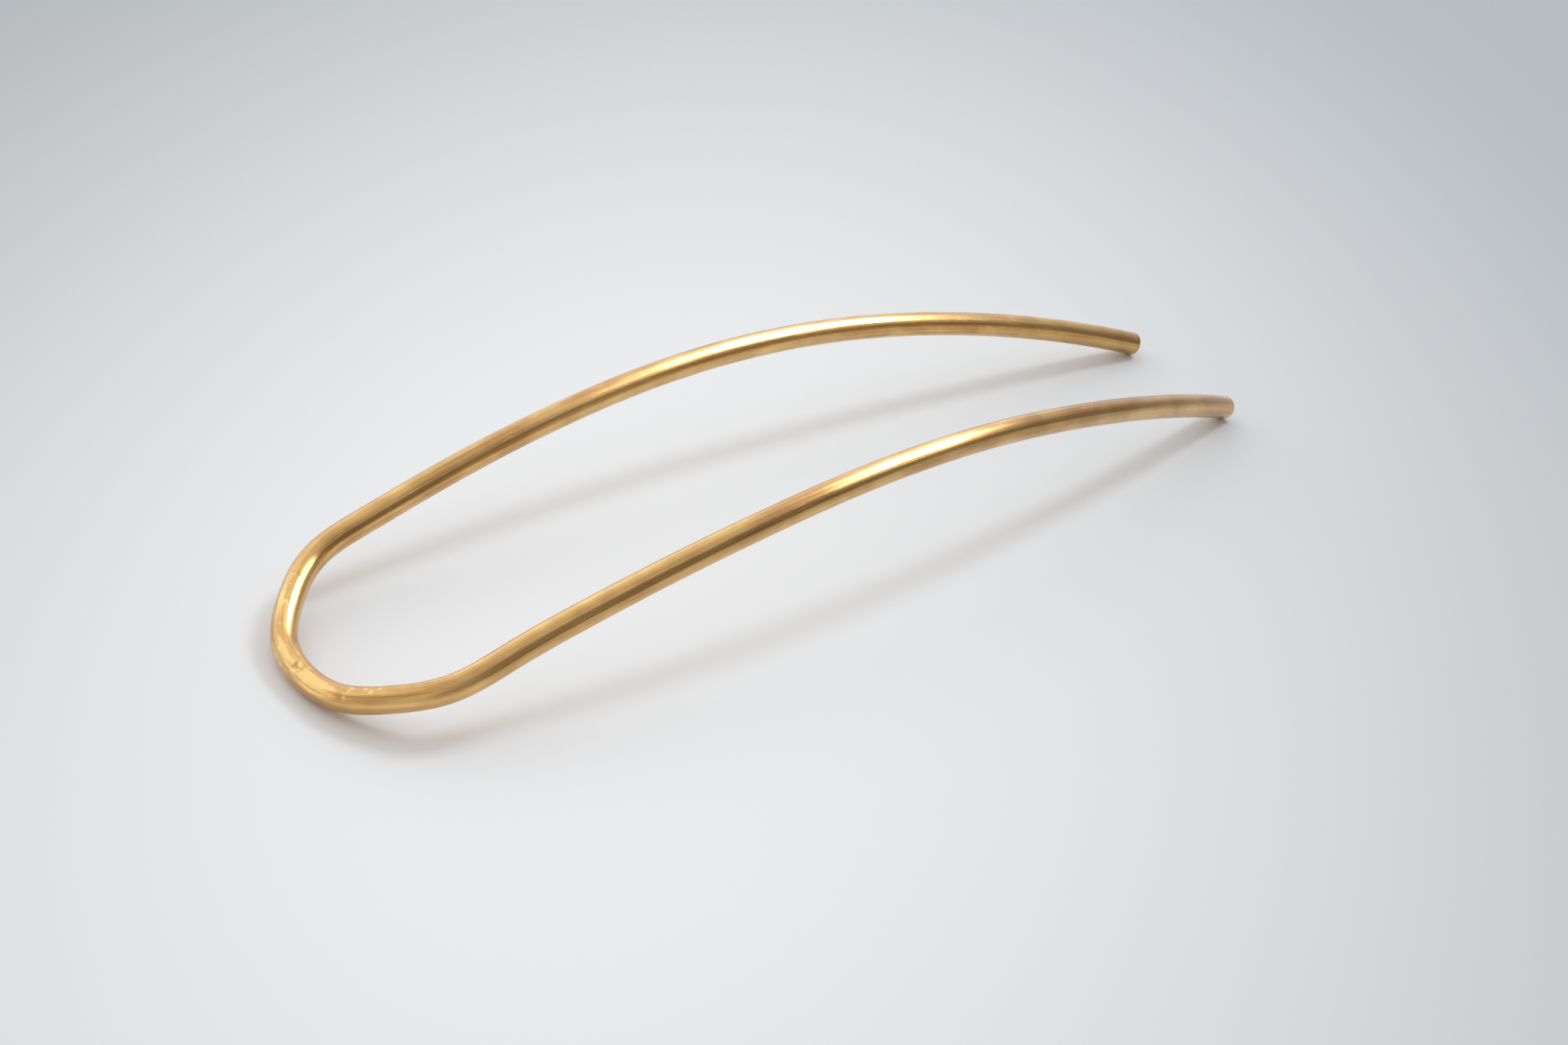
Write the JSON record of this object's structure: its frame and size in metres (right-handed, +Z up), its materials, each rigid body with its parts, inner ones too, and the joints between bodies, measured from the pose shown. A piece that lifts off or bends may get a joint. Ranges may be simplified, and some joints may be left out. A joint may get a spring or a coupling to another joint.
{
  "type": "hairpin",
  "caption": "U-shaped hairpin of one round brass wire, bowed to follow the head, that holds a bun or twist between its prongs.",
  "frame": {"origin": "centre of the pin's box on the surface that it lies on, where it rests on the middle of its bend and on both tips", "axes": "+X from the bend to the tips, +Y to the left leg, +Z up, to the crown of the bow"},
  "size_m": [0.1216, 0.0326, 0.0165],
  "materials": {
    "satin_brass": "satin, with fine lines along the wire from drawing and polishing"
  },
  "bodies": {
    "root": {"pin_wire": "satin_brass"}
  },
  "joints": []
}
